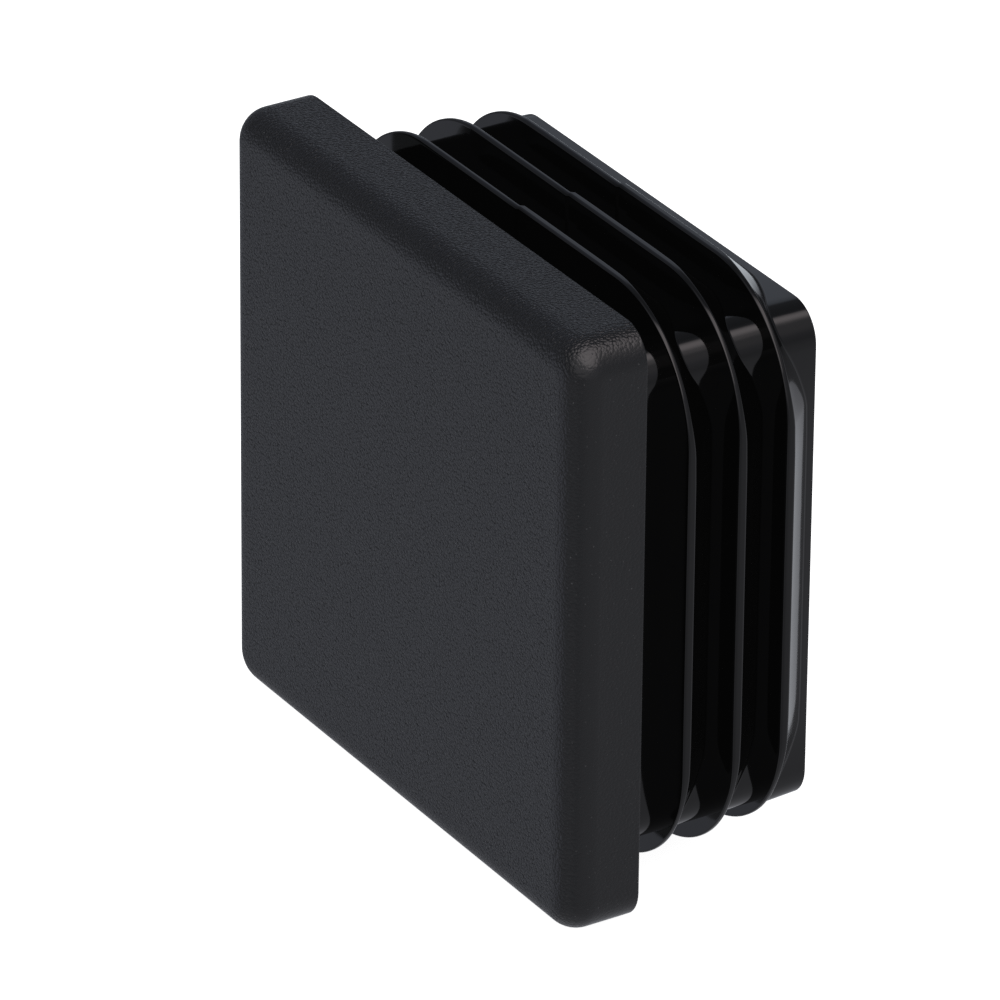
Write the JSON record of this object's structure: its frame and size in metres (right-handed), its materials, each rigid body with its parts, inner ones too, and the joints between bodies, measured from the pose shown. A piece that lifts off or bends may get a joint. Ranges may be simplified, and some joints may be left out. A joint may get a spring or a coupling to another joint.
{
  "type": "tube end cap",
  "caption": "Square end cap with a thick soft-edged head and a hollow plug with sloped ribs round it, which presses into the end of a square tube.",
  "frame": {"origin": "middle of the seat, the flat back of the head that stops against the end of the tube", "axes": "+Y along the tube, from the head into the tube; +X and +Z square to the tube's sides"},
  "size_m": [0.05, 0.0239, 0.05],
  "materials": {
    "end_cap": "fine-grained matte black on the head, smooth and glossier on the plug and its ribs"
  },
  "bodies": {
    "root": {"end_cap": "end_cap"}
  },
  "joints": []
}
